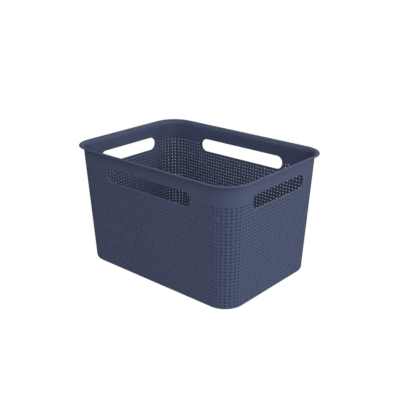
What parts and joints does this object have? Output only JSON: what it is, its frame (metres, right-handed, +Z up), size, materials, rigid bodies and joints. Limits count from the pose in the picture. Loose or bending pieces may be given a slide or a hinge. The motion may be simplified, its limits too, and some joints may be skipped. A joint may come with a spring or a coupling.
{
  "type": "perforated storage basket",
  "caption": "Rectangular open-top storage basket with perforated tapering walls, rounded corners, a flared rim and a long hand slot in each side.",
  "frame": {"origin": "centre of the footprint, on the plane that the basket rests on", "axes": "+X along the long side, +Y along the short side from front to back, +Z up; at this origin the basket is symmetrical about the XZ and YZ planes"},
  "size_m": [0.37, 0.27, 0.2174],
  "materials": {
    "moulded_plastic": "matte with a fine moulded grain"
  },
  "bodies": {
    "root": {"base_pan": "moulded_plastic", "front_wall": "moulded_plastic", "back_wall": "moulded_plastic", "left_wall": "moulded_plastic", "right_wall": "moulded_plastic", "front_left_corner": "moulded_plastic", "front_right_corner": "moulded_plastic", "back_left_corner": "moulded_plastic", "back_right_corner": "moulded_plastic", "front_grip_band": "moulded_plastic", "back_grip_band": "moulded_plastic", "left_grip_band": "moulded_plastic", "right_grip_band": "moulded_plastic", "front_rim": "moulded_plastic", "back_rim": "moulded_plastic", "left_rim": "moulded_plastic", "right_rim": "moulded_plastic"}
  },
  "joints": []
}
